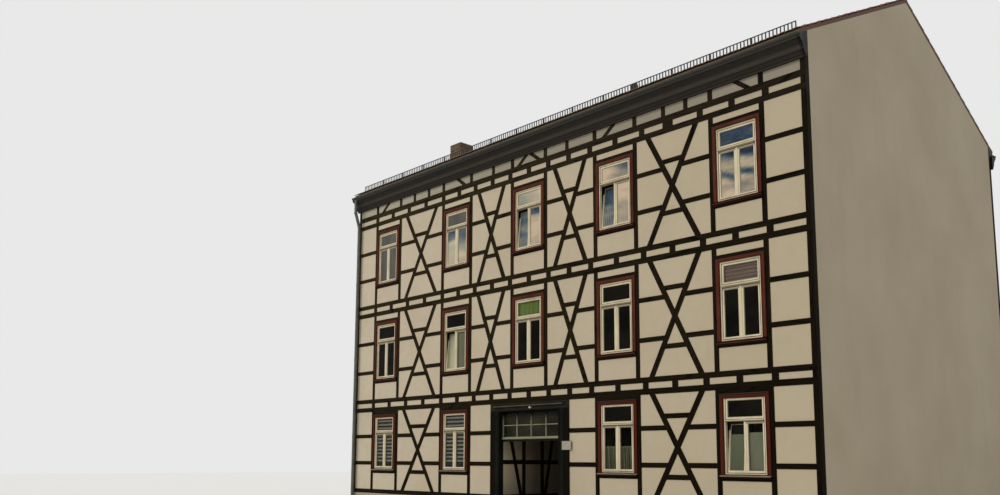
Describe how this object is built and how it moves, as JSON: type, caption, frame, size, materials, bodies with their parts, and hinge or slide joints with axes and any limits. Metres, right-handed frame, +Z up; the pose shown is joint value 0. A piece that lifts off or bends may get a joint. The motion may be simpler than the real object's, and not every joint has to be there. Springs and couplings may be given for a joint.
{
  "type": "half timbered town house",
  "caption": "Half timbered town house from a row, with a gateway passage through its middle, cased windows, a moulded cornice and a low tiled roof.",
  "frame": {"origin": "centre of the base at street level, under the middle of the gateway passage", "axes": "+X to the right along the front, +Y from the front to the back, +Z up; the front faces -Y"},
  "size_m": [16.326, 11.04, 13.1421],
  "materials": {
    "paving": "worn",
    "render": "matte",
    "boards": "satin",
    "timber": "satin",
    "infill": "matte",
    "casing": "satin",
    "window_paint": "satin",
    "glass": "clear",
    "blind": "matte",
    "curtain": "matte",
    "gate_paint": "satin",
    "fanlight_paint": "satin",
    "lamp_glass": "gloss",
    "plate": "satin",
    "cornice_paint": "satin",
    "zinc": "satin",
    "tiles": "matte",
    "guard_steel": "satin",
    "brick": "matte"
  },
  "bodies": {
    "root": {"passage_floor": "paving", "passage_plinth": "render", "house_plinth": "render", "party_walls": "render", "ground_floor": "boards", "wall_posts": "timber", "wall_beams": "timber", "wall_rails": "timber", "wall_braces": "timber", "wall_infill": "infill", "passage_posts": "timber", "passage_beams": "timber", "passage_rails": "timber", "passage_braces": "timber", "passage_infill": "infill", "floor_joists": "timber", "upper_floors": "boards", "casing_sides": "casing", "casing_heads": "casing", "drip_caps": "zinc", "window_boards": "casing", "frame_jambs": "window_paint", "frame_rails": "window_paint", "window_sashes": "window_paint", "tilted_sashes": "window_paint", "window_panes": "glass", "blinds": "blind", "curtains": "curtain", "gate_posts": "gate_paint", "gate_head": "gate_paint", "gate_fanlight": "fanlight_paint", "fanlight_panes": "glass", "gate_light": "lamp_glass", "blank_plate": "plate", "cornices": "cornice_paint", "gutters": "zinc", "downpipes": "zinc", "roof_front": "tiles", "roof_back": "tiles", "ridge_tiles": "tiles", "snow_guards": "guard_steel", "chimneys": "brick"}
  },
  "joints": []
}
